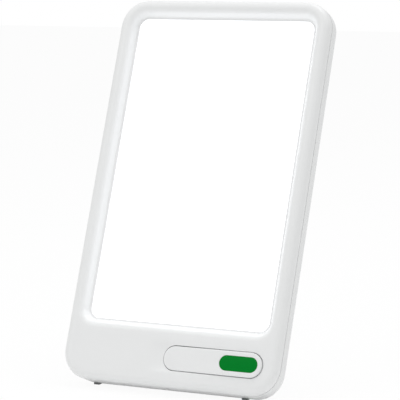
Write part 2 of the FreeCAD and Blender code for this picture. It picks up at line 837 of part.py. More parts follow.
def lamp_strip(side):
    name = "left" if side < 0 else "right"
    body = new_body("lamp_strip_" + name)
    left, right = (strip_front, tray_inner) if side > 0 else (-tray_inner, -strip_front)
    low = tray_low + d.strip_margin
    high = tray_high - d.strip_margin
    layer(body, "strip", lambda s: box(s, left, right, low, high), guide_depth, tray_depth)
    stand_up(body)
    lamps = new_body("lamps_" + name)
    near, far = (lamp_front, strip_front) if side > 0 else (-strip_front, -lamp_front)
    middle = (tray_low + tray_high) / 2
    first = middle - (d.lamp_count - 1) / 2 * d.lamp_pitch - d.lamp_length / 2
    front = (guide_depth + sheet_depth) / 2 - d.lamp_width / 2

    def lamp(sketch):
        box(sketch, near, far, first, first + d.lamp_length)

    one = layer(lamps, "lamp", lamp, front, front + d.lamp_width)
    repeat(lamps, one, "row", "Y_Axis", (d.lamp_count - 1) * d.lamp_pitch, d.lamp_count)
    stand_up(lamps)


# Rocker: cap with a green inlay, on a pin

ROCKER_TURN = turned("y", -d.rocker_swing, rocker_centre, 0, d.rocker_axis_depth)


def inlay_outline(sketch, margin):
    margin = size(margin)
    low = d.rocker_up - d.inlay_height / 2
    left = inlay_right - d.inlay_length
    pill(sketch, left - margin, inlay_right + margin, low - margin, low + d.inlay_height + margin)


def rocker_cap():
    body = new_body("rocker_cap")
    layer(body, "cap", lambda s: pill(s, rocker_left, rocker_right, rocker_low, rocker_high), cap_front, d.rocker_skirt)
    round_edges(body, "edge", d.rocker_edge, flat_at(cap_front))
    wall = d.rocker_wall

    def hollow(sketch):
        pill(sketch, rocker_left + wall, rocker_right - wall, rocker_low + wall, rocker_high - wall)

    opening(body, "hollow", hollow, cap_front + d.rocker_top, d.rocker_skirt + 1)
    lug_inner = d.rocker_height / 2 - wall - d.rocker_lug

    def lugs(sketch):
        for side in (-1, 1):
            ends = (d.rocker_up + side * lug_inner, d.rocker_up + side * (lug_inner + d.rocker_lug))
            low, high = ends if side > 0 else (ends[1], ends[0])
            half = d.rocker_pin_radius + d.rocker_wall
            box(sketch, rocker_centre - half, rocker_centre + half, low, high)

    layer(body, "lugs", lugs, d.rocker_top / 2, d.rocker_axis_depth + d.rocker_pin_radius + d.rocker_wall)
    pin_hole = new_sketch(body, "pin_hole", "XZ_Plane", -d.rocker_up)
    disc(pin_hole, rocker_centre, -d.rocker_axis_depth, d.rocker_pin_radius + d.running_gap)
    pocket(body, pin_hole, d.rocker_height, midplane=True)

    # Rib that works the switch
    def rib(sketch):
        half = d.plunger_width / 2 + d.touch_gap
        low = d.rocker_up - d.plunger_length / 2
        box(sketch, switch_place - half, switch_place + half, low, low + d.plunger_length)

    layer(body, "rib", rib, d.rocker_top / 2, plunger_rest() - d.touch_gap)
    opening(body, "inlay_seat", lambda s: inlay_outline(s, 0), cap_front, cap_front + d.inlay_thick)
    return stand_up(body, ROCKER_TURN)


def plunger_rest():
    """Depth of the rib's end in the level cap, so that the tilted cap clears the pressed plunger."""
    return plunger_top - d.switch_arm * sine(d.rocker_swing)


def rocker_inlay():
    body = new_body("rocker_inlay")
    layer(body, "inlay", lambda s: inlay_outline(s, 0), cap_front, cap_front + d.inlay_thick)
    return stand_up(body, ROCKER_TURN)


def rocker_pin():
    body = new_body("rocker_pin")
    span = d.rocker_height + 2 * (d.rocker_gap + d.collar_wall + d.rocker_lug)
    sketch = new_sketch(body, "section", "XZ_Plane", -d.rocker_up)
    disc(sketch, rocker_centre, -d.rocker_axis_depth, d.rocker_pin_radius)
    pad(body, sketch, span, midplane=True)
    return stand_up(body)


# Driver board with the switch that the rocker works

def driver_board():
    body = new_body("driver_board")

    def outline(sketch):
        box(sketch, board_left, board_right, d.board_low, d.board_high)

    layer(body, "board", outline, d.board_depth, d.board_depth + d.board_thick)
    for number, (x, y) in enumerate(board_screw_places()):
        hole = d.small_screw_radius + d.fit_gap
        back = d.board_depth + d.board_thick
        opening(body, "hole%d" % number, lambda s, x=x, y=y: disc(s, x, y, hole), d.board_depth, back)
    return stand_up(body)


def on_board(label, x, y, length, width, height, corner=0.3):
    """A component on the board's front, given by its middle and its size."""
    body = new_body(label)
    x, y, length, width = size(x), size(y), size(length), size(width)
    left = x - length / 2
    low = y - width / 2

    def outline(sketch):
        rounded(sketch, left, left + length, low, low + width, corner)

    layer(body, "block", outline, d.board_depth - height, d.board_depth)
    return stand_up(body)


def micro_switch():
    body = new_body("micro_switch")
    left = switch_place - d.switch_length / 2
    low = d.rocker_up - d.switch_width / 2

    def case(sketch):
        rounded(sketch, left, left + d.switch_length, low, low + d.switch_width, d.rocker_edge)

    top = d.board_depth - d.switch_height
    layer(body, "case", case, top, d.board_depth)

    def bore(sketch):
        half = d.plunger_width / 2 + d.touch_gap
        side = d.plunger_length / 2 + d.touch_gap
        box(sketch, switch_place - half, switch_place + half, d.rocker_up - side, d.rocker_up + side)

    opening(body, "bore", bore, top, top + d.plunger_seat + d.touch_gap)
    return stand_up(body)


def switch_plunger():
    body = new_body("switch_plunger")

    def section(sketch):
        half = d.plunger_width / 2
        side = d.plunger_length / 2
        box(sketch, switch_place - half, switch_place + half, d.rocker_up - side, d.rocker_up + side)

    layer(body, "stem", section, plunger_top, d.board_depth - d.switch_height + d.plunger_seat)
    return stand_up(body)


# Supply socket

def socket_disc(body, name, radius, front, back):
    return layer(body, name, lambda s: disc(s, socket_side, d.socket_up, radius), front, back)


def supply_socket():
    body = new_body("supply_socket")
    sink = case_depth - d.socket_flange_thick
    socket_disc(body, "flange", d.socket_flange_radius, sink, case_depth)
    socket_disc(body, "barrel", d.socket_barrel_radius, case_depth - d.socket_body_length, sink)
    mouth = case_depth - d.socket_bore_depth

    def bore(sketch):
        disc(sketch, socket_side, d.socket_up, d.socket_bore_radius)

    opening(body, "bore", bore, mouth, case_depth)
    stand_up(body)
    contact = new_body("socket_contact")
    socket_disc(contact, "pin", d.contact_radius, mouth, case_depth - d.socket_flange_thick)
    round_edges(contact, "tip", d.contact_radius * 0.6, flat_at(case_depth - d.socket_flange_thick))
    stand_up(contact)
    nut = new_body("socket_nut")
    nut_back = sink - d.well_wall
    nut_front = nut_back - d.socket_nut_thick
    sketch = new_sketch(nut, "hexagon", offset=-nut_front)
    corners = []
    for step in range(6):
        angle = math.radians(60 * step)
        corners.append((
            socket_side + d.socket_nut_radius * math.cos(angle),
            d.socket_up + d.socket_nut_radius * math.sin(angle),
        ))
    polygon(sketch, corners)
    pad(nut, sketch, d.socket_nut_thick, down=True)
    hole = d.socket_barrel_radius + d.running_gap
    opening(nut, "thread", lambda s: disc(s, socket_side, d.socket_up, hole), nut_front, nut_back)
    stand_up(nut)


# Screws: each group is one node of separate solids

def screws(label, places, seat, head_radius, head_thick, shank_radius, length):
    """Pan head screws driven from the back, heads against a seat at a depth."""
    body = new_body(label)
    seat = size(seat)

    def heads(sketch):
        for x, y in places:
            disc(sketch, x, y, head_radius)

    def shanks(sketch):
        for x, y in places:
            disc(sketch, x, y, shank_radius)

    layer(body, "heads", heads, seat, seat + head_thick)
    round_edges(body, "crown", head_thick * 0.4, flat_at(seat + head_thick))
    layer(body, "shanks", shanks, seat - length, seat)

    def crosses(sketch):
        half = d.recess_cross / 2
        arm = size(head_radius) * 0.6
        for x, y in places:
            polygon(sketch, [
                (x - arm, y - half), (x - half, y - half), (x - half, y - arm), (x + half, y - arm),
                (x + half, y - half), (x + arm, y - half), (x + arm, y + half), (x + half, y + half),
                (x + half, y + arm), (x - half, y + arm), (x - half, y + half), (x - arm, y + half),
            ])

    opening(body, "crosses", crosses, seat + head_thick * 0.45, seat + head_thick + 1)
    return stand_up(body)


# Stand: a leg with a rubber pad, on a pin across the recess

STAND_TURN = turned("x", stand_swing, 0, hinge_up, hinge_depth)


def stand_leg():
    body = new_body("stand_leg")
    joint = hinge_up - stand_length(hinge_depth) + d.stand_pad_length
    heel = hinge_up + heel_reach()
    top = d.stand_width / 2
    foot = d.stand_foot_width / 2
    taper_up = hinge_up - d.knuckle_radius * 4

    def plate(sketch):
        polygon(sketch, [
            (-foot, joint), (foot, joint), (top, taper_up), (top, heel), (-top, heel), (-top, taper_up),
        ])

    layer(body, "plate", plate, stand_front, stand_back)
    knuckle = new_sketch(body, "knuckle", "YZ_Plane")
    disc(knuckle, hinge_up, -hinge_depth, d.knuckle_radius)
    pad(body, knuckle, d.stand_width, midplane=True)
    bore = new_sketch(body, "bore", "YZ_Plane")
    disc(bore, hinge_up, -hinge_depth, d.stand_pin_radius + d.running_gap)
    pocket(body, bore, d.stand_width + 1, midplane=True)
    middle = (stand_front + stand_back) / 2
    half = d.stand_tongue_thick / 2

    def tongue(sketch):
        inset = d.stand_tongue
        box(sketch, -foot + inset, foot - inset, joint - d.stand_tongue, joint + 1)

    layer(body, "tongue", tongue, middle - half, middle + half)
    # Trough that stiffens and lightens the back of the leg
    trough_low = joint + d.stand_pad_length
    trough_high = taper_up - d.stand_pad_length
    trough_half = foot - d.stand_pad_length

    def trough(sketch):
        rounded(sketch, -trough_half, trough_half, trough_low, trough_high, d.stand_tongue)

    opening(body, "trough", trough, stand_back - d.stand_thick / 3, stand_back)
    return stand_up(body, STAND_TURN)


def stand_pad():
    body = new_body("stand_pad")
    joint = hinge_up - stand_length(hinge_depth) + d.stand_pad_length
    sketch = new_sketch(body, "section", "YZ_Plane")
    middle = (stand_front + stand_back) / 2
    half = d.stand_tongue_thick / 2
    polygon(sketch, [
        (hinge_up - stand_length(stand_front), -stand_front),
        (hinge_up - stand_length(stand_back), -stand_back),
        (joint, -stand_back),
        (joint, -middle - half),
        (joint - d.stand_tongue, -middle - half),
        (joint - d.stand_tongue, -middle + half),
        (joint, -middle + half),
        (joint, -stand_front),
    ])
    pad(body, sketch, d.stand_foot_width, midplane=True)
    return stand_up(body, STAND_TURN)


def stand_pin():
    body = new_body("stand_pin")
    sketch = new_sketch(body, "section", "YZ_Plane")
    disc(sketch, hinge_up, -hinge_depth, d.stand_pin_radius)
    span = d.stand_width + 2 * d.stand_gap + 2 * (d.stand_pin_seat - d.fit_gap * 5)
    pad(body, sketch, span, midplane=True)
    return stand_up(body)


# Feet: rubber blocks let into the bottom edge and cut level with the ground

def foot(side):
    body = new_body("foot_" + side)
    sketch = new_sketch(body, "section", "YZ_Plane", foot_places[side])

    def ground_up(depth):
        return (ground + depth * lean) / upright

    polygon(sketch, [
        (ground_up(foot_front), -foot_front),
        (d.foot_seat, -foot_front),
        (d.foot_seat, -foot_back),
        (ground_up(foot_back), -foot_back),
    ])
    pad(body, sketch, d.foot_width, midplane=True)
    return stand_up(body)


# Leads inside the case

def bent_path(points):
    """Straight runs joined by tangent arcs, each as large as its two runs allow."""
    edges = []
    start = points[0]
    for before, corner, after in zip(points, points[1:], points[2:]):
        arriving = (corner - before).normalize()
        leaving = (after - corner).normalize()
        half_turn = arriving.getAngle(leaving) / 2
        shorter = min((corner - before).Length, (after - corner).Length)
        setback = 0.45 * shorter
        first = corner - arriving * setback
        last = corner + leaving * setback
        radius = setback / math.tan(half_turn)
        inward = (leaving - arriving).normalize()
        middle = corner + inward * (radius / math.cos(half_turn) - radius)
        edges.append(Part.LineSegment(start, first).toShape())
        edges.append(Part.Arc(first, middle, last).toShape())
        start = last
    edges.append(Part.LineSegment(start, points[-1]).toShape())
    return Part.Wire(edges)


LEAD_RADIUS = 0.45
LEAD_PITCH = 1.2


def lead(label, runs):
    """A pair of insulated wires side by side, each a tube along its own run."""
    tubes = []
    for points in runs:
        path = bent_path([Vector(x, y, -depth) for x, y, depth in points])
        direction = path.Edges[0].tangentAt(path.Edges[0].FirstParameter)
        start = path.Edges[0].valueAt(path.Edges[0].FirstParameter)
        ring = Part.Wire(Part.Circle(start, direction, LEAD_RADIUS).toShape())
        tubes.append(path.makePipeShell([ring], True, False))
    item = doc.addObject("Part::Feature", label)
    item.Label = label
    item.Shape = Part.makeCompound(tubes)
    item.Placement = Placement(
        Vector(0, shift.number, -ground.number), Rotation(Vector(1, 0, 0), 90 - d.tilt.number)
    )
    return item


def strip_lead(side):
    """From the foot of a lamp strip down beside the tray and in to its connector."""
    name = "left" if side < 0 else "right"
    strip_end = (tray_low + d.strip_margin).number
    run_x = (side * (strip_front + d.strip_thick / 2)).number
    connector = CONNECTORS[name]
    inner_x = connector[0] + side * CONNECTOR_LENGTH / 2
    lead_depth = d.board_depth.number - CONNECTOR_HEIGHT / 2
    guide_middle = ((guide_depth + tray_depth) / 2).number
    runs = []
    for step in (-0.5, 0.5):
        aside = step * LEAD_PITCH
        runs.append([
            (run_x, strip_end, guide_middle + aside),
            (run_x, strip_end - 7, guide_middle + aside),
            (run_x - side * 3, connector[1] + aside, lead_depth),
            (inner_x, connector[1] + aside, lead_depth),
        ])
    return lead("lamp_lead_" + name, runs)


CONNECTOR_LENGTH = 6.0
CONNECTOR_WIDTH = 7.0
CONNECTOR_HEIGHT = 5.0
CONNECTORS = {
    "left": (board_left.number + 4.0, 20.0),
    "right": (board_right.number - 4.0, 25.0),
    "supply": (board_left.number + 12.0, 10.0),
}


def supply_lead():
    """From the back of the supply socket to its connector on the board."""
    connector = CONNECTORS["supply"]
    socket_end = (case_depth - d.socket_body_length).number
    lead_depth = d.board_depth.number - CONNECTOR_HEIGHT / 2
    runs = []
    for step in (-0.5, 0.5):
        aside = step * LEAD_PITCH
        x = socket_side.number
        y = d.socket_up.number + aside
        runs.append([
            (x, y, socket_end),
            (x, y, socket_end - 5),
            (x + 8, connector[1] + aside, lead_depth),
            (connector[0] - CONNECTOR_LENGTH / 2, connector[1] + aside, lead_depth),
        ])
    return lead("supply_lead", runs)


front_cover()
rear_cover()
panel_sheet("diffuser", panel_side, panel_low, panel_high, lip_back, guide_depth)
panel_sheet("light_guide", guide_side, panel_low, panel_high, guide_depth, sheet_depth)
panel_sheet("reflector_sheet", guide_side, panel_low, panel_high, sheet_depth, tray_depth)
tray()
lamp_strip(-1)
lamp_strip(1)
rocker_cap()
rocker_inlay()
rocker_pin()
driver_board()
micro_switch()
switch_plunger()
supply_socket()
on_board("power_inductor", board_left + 17, 24, 8, 8, 5, corner=1.5)
on_board("driver_chip", board_left + 29, 25, 5, 4, 1.6)
on_board("filter_capacitor", board_left + 28, 12, 6.3, 6.3, 6.5, corner=3.0)
on_board("output_capacitor", board_right - 29, 12, 6.3, 6.3, 6.0, corner=3.0)
on_board("connector_left", *CONNECTORS["left"], CONNECTOR_LENGTH, CONNECTOR_WIDTH, CONNECTOR_HEIGHT)
on_board("connector_right", *CONNECTORS["right"], CONNECTOR_LENGTH, CONNECTOR_WIDTH, CONNECTOR_HEIGHT)
on_board("connector_supply", *CONNECTORS["supply"], CONNECTOR_LENGTH, CONNECTOR_WIDTH, CONNECTOR_HEIGHT)
strip_lead(-1)
strip_lead(1)
supply_lead()
well_seat = case_depth - d.well_depth
case_head = (d.screw_head_radius, d.screw_head_thick, d.screw_radius, d.screw_length)
small_head = (d.small_head_radius, d.small_head_thick, d.small_screw_radius, d.small_screw_length)
screws("case_screws", case_screw_places(), well_seat, *case_head)
screws("tray_screws", tray_screw_places(), tray_back, *small_head)
screws("board_screws", board_screw_places(), d.board_depth + d.board_thick, *small_head)
stand_leg()
stand_pad()
stand_pin()
foot("left")
foot("right")

doc.recompute()
for item in doc.Objects:
    if "Invalid" in item.State or "Error" in item.State:
        raise RuntimeError("%s did not build: %s" % (item.Name, item.State))

bodies = [item for item in doc.Objects if item.TypeId == "PartDesign::Body"]
leads = [item for item in doc.Objects if item.TypeId == "Part::Feature" and "lead" in item.Label]
os.makedirs("parts", exist_ok=True)
for item in bodies + leads:
    if item.Shape.isNull() or not item.Shape.isValid():
        raise RuntimeError("%s has no valid shape" % item.Label)
for item in bodies + leads:
    item.Shape.exportStep("parts/%s.step" % item.Label)
    bounds = item.Shape.BoundBox
    print(item.Label, len(item.Shape.Solids), "solids, volume", round(item.Shape.Volume, 1))
print("stand swing", round(stand_swing.number, 3), "ground", round(ground.number, 3))
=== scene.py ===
import math

import bmesh
import bpy
import numpy as np
from mathutils import Matrix, Vector


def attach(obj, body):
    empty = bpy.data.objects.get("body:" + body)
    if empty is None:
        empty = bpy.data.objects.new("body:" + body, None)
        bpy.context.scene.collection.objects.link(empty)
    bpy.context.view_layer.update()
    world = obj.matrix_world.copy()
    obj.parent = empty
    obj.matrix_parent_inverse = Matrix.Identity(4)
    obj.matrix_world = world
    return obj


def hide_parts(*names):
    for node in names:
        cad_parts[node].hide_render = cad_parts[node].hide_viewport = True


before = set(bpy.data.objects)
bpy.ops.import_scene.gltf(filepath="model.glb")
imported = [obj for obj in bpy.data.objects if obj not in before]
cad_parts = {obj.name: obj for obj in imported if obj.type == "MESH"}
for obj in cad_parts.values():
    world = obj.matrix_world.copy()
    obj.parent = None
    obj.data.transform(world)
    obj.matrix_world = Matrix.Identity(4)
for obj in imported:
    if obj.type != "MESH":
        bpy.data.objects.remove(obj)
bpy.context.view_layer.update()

MM = 0.001

# The case stands tilted back. A point of it is (x, up, depth): x to the right, up along the face
# from the bottom edge, depth behind the crest of the front. All lengths below are in millimetres.
TILT = math.radians(21.2)
SIN, COS = math.sin(TILT), math.cos(TILT)
GROUND = 3 * COS - 19 * SIN - 3 - 0.5
SHIFT = -((4.5 * (SIN + COS) - 4.5) + (256 * SIN + 13 * COS + 9)) / 2

WIDTH, HEIGHT, DEPTH, CORNER = 155.0, 265.0, 22.0, 19.0
BASIN_DEPTH, SLOPE = 6.4, math.radians(62)
WINDOW_INSET = BASIN_DEPTH / math.tan(SLOPE) + 2.0 * math.tan(SLOPE / 2)
ROCKER_X, ROCKER_UP, ROCKER_LENGTH, ROCKER_HEIGHT = 32.25, 19.0, 70.4, 16.2
ROCKER_GAP, CAP_TOP = 0.4, -0.6
BAR_LENGTH, BAR_HEIGHT = 27.2, 10.1
ROCKER_AXIS, ROCKER_SWING = 5.6, math.radians(1.8)
HINGE_UP, HINGE_DEPTH, SWING = 172.0, 19.6, math.radians(27.2)
FOOT_FRONT, FOOT_BACK, FOOT_WIDTH, FOOT_SEAT = 17.6, 20.8, 4.4, 1.3
BORDER, BAND = 7.9, 37.4
SEAM_FRONT, SEAM_BACK = 6.65, 7.35
PANEL_FRONT, PANEL_BACK, PANEL_OVERLAP = 7.4, 8.9, 2.6
LEG_FRONT, LEG_BACK, LEG_LEAN, LEG_DROP = 18.2, 21.8, math.radians(6), 160.8458


def in_room(points):
    """Takes (x, up, depth) points of the case to the room: turned by the tilt, then moved, in metres."""
    x, up, depth = np.moveaxis(np.asarray(points, float), -1, 0)
    place = (x, SHIFT + up * SIN + depth * COS, -GROUND + up * COS - depth * SIN)
    return np.stack(place, -1) * MM


def turned_about(points, angle, first, second, centre):
    """Turns points by an angle in the plane of two of their axes, about a centre in that plane."""
    points = np.array(points, float)
    a = points[..., first] - centre[0]
    b = points[..., second] - centre[1]
    points[..., first] = centre[0] + a * math.cos(angle) - b * math.sin(angle)
    points[..., second] = centre[1] + a * math.sin(angle) + b * math.cos(angle)
    return points


def with_rocker(points):
    """The rocker at rest: its left end pressed in by 1.8 degrees about the pin behind its middle."""
    return turned_about(points, -ROCKER_SWING, 0, 2, (ROCKER_X, ROCKER_AXIS))


def with_stand(points):
    """The leg folded flat in the back, swung out about its hinge to where it stands."""
    return turned_about(points, SWING, 2, 1, (HINGE_DEPTH, HINGE_UP))


# Outlines: each is a function of s from 0 to 1 once round, in the face's plane

def round_box(left, right, low, high, radius, arc=12, side=10):
    """A rectangle with round corners: straight sides and quarter circles, anticlockwise from the
    bottom left. Every outline from here has its corners at the same s, so two of them can be joined."""
    centres = ((right - radius, low + radius, -90), (right - radius, high - radius, 0),
               (left + radius, high - radius, 90), (left + radius, low + radius, 180))
    loop = []
    for x, y, start in centres:
        angle = np.radians(start + np.linspace(0, 90, arc + 1))
        loop.append(np.stack((x + radius * np.cos(angle), y + radius * np.sin(angle)), -1))
    joined = []
    for this, following in zip(loop, loop[1:] + loop[:1]):
        share = np.linspace(0, 1, side + 1)[1:-1, None]
        joined += [this, this[-1] * (1 - share) + following[0] * share]
    return np.concatenate(joined)


def case_outline(inset, arc=16, side=24):
    """The case's edge, moved in by an inset."""
    return round_box(-WIDTH / 2 + inset, WIDTH / 2 - inset, inset, HEIGHT - inset, CORNER - inset, arc, side)


def basin_outline(inset, arc=16, side=24):
    """The basin's edge where its slope would meet the front plane, moved in by an inset."""
    left = -WIDTH / 2 + BORDER + inset
    return round_box(left, -left, BAND + inset, HEIGHT - BORDER - inset, CORNER - BORDER - inset, arc, side)


def pill_outline(inset, length=ROCKER_LENGTH, height=ROCKER_HEIGHT, middle=ROCKER_X, arc=16, side=24):
    """A rectangle whose ends are half circles, on the rocker's middle line, moved in by an inset."""
    radius = height / 2 - inset
    return round_box(middle - length / 2 + inset, middle + length / 2 - inset,
                     ROCKER_UP - radius, ROCKER_UP + radius, radius * 0.99999, arc, side)


def rings(outlines, depths):
    """A surface of two parameters, s round an outline and t down a profile: row t of the grid is
    the outline at that step of the profile, laid at that depth."""
    rows = []
    for outline, depth in zip(outlines, depths):
        level = np.broadcast_to(np.asarray(depth, float), outline.shape[:1])
        rows.append(np.column_stack((outline, level)))
    return np.stack(rows)


def quarter(radius, count):
    """Points on a circle's arc as (inset, depth) from the corner that it rounds, from the wall's
    side at 0 degrees to the top at 90: inset = r(1 - cos), depth = r(1 - sin)."""
    angle = np.linspace(0, np.pi / 2, count)
    return radius * (1 - np.cos(angle)), radius * (1 - np.sin(angle))


# Meshes

def grid_faces(rows, columns, first=0, around=True):
    """Quads between neighbouring rows and columns of a grid of points, as one array."""
    i, j = np.meshgrid(np.arange(rows - 1), np.arange(columns if around else columns - 1), indexing="ij")
    after = (j + 1) % columns
    here, below = i * columns, (i + 1) * columns
    quads = np.stack((here + j, here + after, below + after, below + j), -1)
    return quads.reshape(-1, 4) + first


def mesh_of(name, surfaces, place=lambda p: p):
    """One mesh object from grids of points, each a pair of (points, closed round or not)."""
    points, faces, first = [], [], 0
    for grid, around in surfaces:
        rows, columns = grid.shape[:2]
        points.append(grid.reshape(-1, 3))
        faces.append(grid_faces(rows, columns, first, around))
        first += rows * columns
    mesh = bpy.data.meshes.new(name)
    room = in_room(place(np.concatenate(points)))
    mesh.from_pydata(room.tolist(), [], np.concatenate(faces).tolist())
    piece = bpy.data.objects.new(name, mesh)
    bpy.context.scene.collection.objects.link(piece)
    tidy(piece)
    return piece


def tidy(piece, reach=2e-6):
    """Merges doubled points, drops faces with no area and points the normals outwards."""
    work = bmesh.new()
    work.from_mesh(piece.data)
    bmesh.ops.remove_doubles(work, verts=work.verts, dist=reach)
    bmesh.ops.dissolve_degenerate(work, edges=work.edges, dist=reach)
    bmesh.ops.recalc_face_normals(work, faces=work.faces)
    work.to_mesh(piece.data)
    work.free()


def finished(piece, material, body, node):
    """Applies the piece's modifiers, smooths it between edges over 32 degrees, gives it its material and
    its body, and hides the solid that it replaces."""
    bpy.context.view_layer.update()
    graph = bpy.context.evaluated_depsgraph_get()
    mesh = bpy.data.meshes.new_from_object(piece.evaluated_get(graph))
    piece.modifiers.clear()
    piece.data = mesh
    mesh.polygons.foreach_set("use_smooth", np.ones(len(mesh.polygons), bool))
    mesh.set_sharp_from_angle(angle=math.radians(32))
    mesh.materials.clear()
    mesh.materials.append(material)
    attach(piece, body)
    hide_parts(node)
    return piece


def cut(piece, cutter, operation="DIFFERENCE"):
    """Takes the cutter's space out of a piece, and removes the cutter."""
    change = piece.modifiers.new(cutter.name, "BOOLEAN")
    change.operation = operation
    change.solver = "EXACT"
    change.object = cutter
    bpy.context.view_layer.update()
    graph = bpy.context.evaluated_depsgraph_get()
    mesh = bpy.data.meshes.new_from_object(piece.evaluated_get(graph))
    piece.modifiers.clear()
    piece.data = mesh
    bpy.data.objects.remove(cutter)


def closed_rings(outlines, depths):
    """Rings with both ends drawn in to their middle line, so that the surface closes."""
    grid = rings(outlines, depths)
    return np.concatenate((collapsed(grid[:1]), grid, collapsed(grid[-1:])))


def collapsed(row):
    """A ring drawn in to its own middle line. With m the ring's middle, h its half size on an axis and w
    the smaller half size, each point goes to m + clip(point - m, w - h, h - w) on that axis."""
    low, high = row.min((0, 1)), row.max((0, 1))
    middle = (low + high) / 2
    half = (high - low) / 2
    short = min(half[0], half[1])
    flat = row.copy()
    for axis in (0, 1):
        reach = half[axis] - short
        flat[..., axis] = np.clip(row[..., axis], middle[axis] - reach, middle[axis] + reach)
    return flat


# Materials

def linear(colour):
    """An sRGB hex colour as linear light."""
    parts = [int(colour[i:i + 2], 16) / 255 for i in (0, 2, 4)]
    return tuple(p / 12.92 if p <= 0.04045 else ((p + 0.055) / 1.055) ** 2.4 for p in parts) + (1.0,)


def add(tree, kind, settings=(), **links):
    """Adds a node, sets its properties and sockets, and links its inputs. A linked socket is named with
    _ for a space, or with i and its number."""
    node = tree.nodes.new(kind)
    for key, value in dict(settings).items():
        if isinstance(key, str) and key not in node.inputs:
            setattr(node, key, value)
        else:
            node.inputs[key].default_value = value
    for key, source in links.items():
        numbered = key[0] == "i" and key[1:].isdigit()
        socket = int(key[1:]) if numbered else key.replace("_", " ")
        tree.links.new(source, node.inputs[socket])
    return node


def new_material(name):
    material = bpy.data.materials.new(name)
    material.use_nodes = True
    tree = material.node_tree
    tree.nodes.clear()
    return material, tree


def moulded(name, colour, roughness, grain_mm, grain_depth_mm, tint=0.02, specular=0.5):
    """Injection-moulded or rubber surface: an even colour with a faint cloudiness, and the fine spark
    texture of the mould as bump. Grain is the texture's spacing."""
    material, tree = new_material(name)
    place = add(tree, "ShaderNodeTexCoord").outputs["Object"]
    cloud = add(tree, "ShaderNodeTexNoise", {"Scale": 28.0, "Detail": 3.0, "Roughness": 0.6}, Vector=place)
    shade = add(tree, "ShaderNodeMapRange", {"To Min": 1 - tint, "To Max": 1 + tint * 0.4},
                Value=cloud.outputs["Fac"])
    base = add(tree, "ShaderNodeHueSaturation", {"Color": linear(colour)}, Value=shade.outputs["Result"])
    grain = add(tree, "ShaderNodeTexNoise", {"Scale": 1000 / grain_mm, "Detail": 2.0}, Vector=place)
    rough = add(tree, "ShaderNodeMapRange", {"To Min": roughness - 0.04, "To Max": roughness + 0.05},
                Value=cloud.outputs["Fac"])
    bump = add(tree, "ShaderNodeBump", {"Strength": 0.35, "Distance": grain_depth_mm * MM},
               Height=grain.outputs["Fac"])
    shader = add(tree, "ShaderNodeBsdfPrincipled", {
        "IOR": 1.53, "Specular IOR Level": specular,
    }, Base_Color=base.outputs["Color"], Roughness=rough.outputs["Result"], Normal=bump.outputs["Normal"])
    add(tree, "ShaderNodeOutputMaterial", Surface=shader.outputs["BSDF"])
    return material


def bare_metal(name, colour, roughness, streak_mm):
    """Bare metal: fine streaks along one direction change the roughness and the tone a little."""
    material, tree = new_material(name)
    place = add(tree, "ShaderNodeTexCoord").outputs["Object"]
    stretch = add(tree, "ShaderNodeMapping", {"Scale": (1000 / streak_mm, 60.0, 60.0)}, Vector=place)
    streaks = add(tree, "ShaderNodeTexNoise", {"Scale": 1.0, "Detail": 3.0},
                  Vector=stretch.outputs["Vector"])
    rough = add(tree, "ShaderNodeMapRange", {"To Min": roughness * 0.75, "To Max": roughness * 1.3},
                Value=streaks.outputs["Fac"])
    tone = add(tree, "ShaderNodeMapRange", {"To Min": 0.88, "To Max": 1.05}, Value=streaks.outputs["Fac"])
    base = add(tree, "ShaderNodeHueSaturation", {"Color": linear(colour)}, Value=tone.outputs["Result"])
    shader = add(tree, "ShaderNodeBsdfPrincipled", {"Metallic": 1.0},
                 Base_Color=base.outputs["Color"], Roughness=rough.outputs["Result"])
    add(tree, "ShaderNodeOutputMaterial", Surface=shader.outputs["BSDF"])
    return material


def glowing(name, colour, light, strength):
    """Frosted acrylic lit from its edges: nearly all that it sends out is its own light, which varies
    by 1 % over some centimetres and leaves by the front face only."""
    material, tree = new_material(name)
    place = add(tree, "ShaderNodeTexCoord").outputs["Object"]
    grain = add(tree, "ShaderNodeTexNoise", {"Scale": 1500.0, "Detail": 2.0}, Vector=place)
    bump = add(tree, "ShaderNodeBump", {"Strength": 0.25, "Distance": 0.01 * MM},
               Height=grain.outputs["Fac"])
    cloud = add(tree, "ShaderNodeTexNoise", {"Scale": 9.0, "Detail": 2.0}, Vector=place)
    glow = add(tree, "ShaderNodeMapRange", {"To Min": strength * 0.985, "To Max": strength * 1.01},
               Value=cloud.outputs["Fac"])
    facing = add(tree, "ShaderNodeVectorMath", {"operation": "DOT_PRODUCT", 1: (0.0, -COS, SIN)},
                 i0=add(tree, "ShaderNodeNewGeometry").outputs["Normal"])
    front = add(tree, "ShaderNodeMath", {"operation": "GREATER_THAN"}, i0=facing.outputs["Value"])
    glow = add(tree, "ShaderNodeMath", {"operation": "MULTIPLY"},
               i0=glow.outputs["Result"], i1=front.outputs[0])
    shader = add(tree, "ShaderNodeBsdfPrincipled", {
        "Base Color": linear(colour), "Roughness": 0.55, "IOR": 1.49, "Specular IOR Level": 0.2,
        "Emission Color": linear(light),
    }, Emission_Strength=glow.outputs[0], Normal=bump.outputs["Normal"])
    add(tree, "ShaderNodeOutputMaterial", Surface=shader.outputs["BSDF"])
    return material


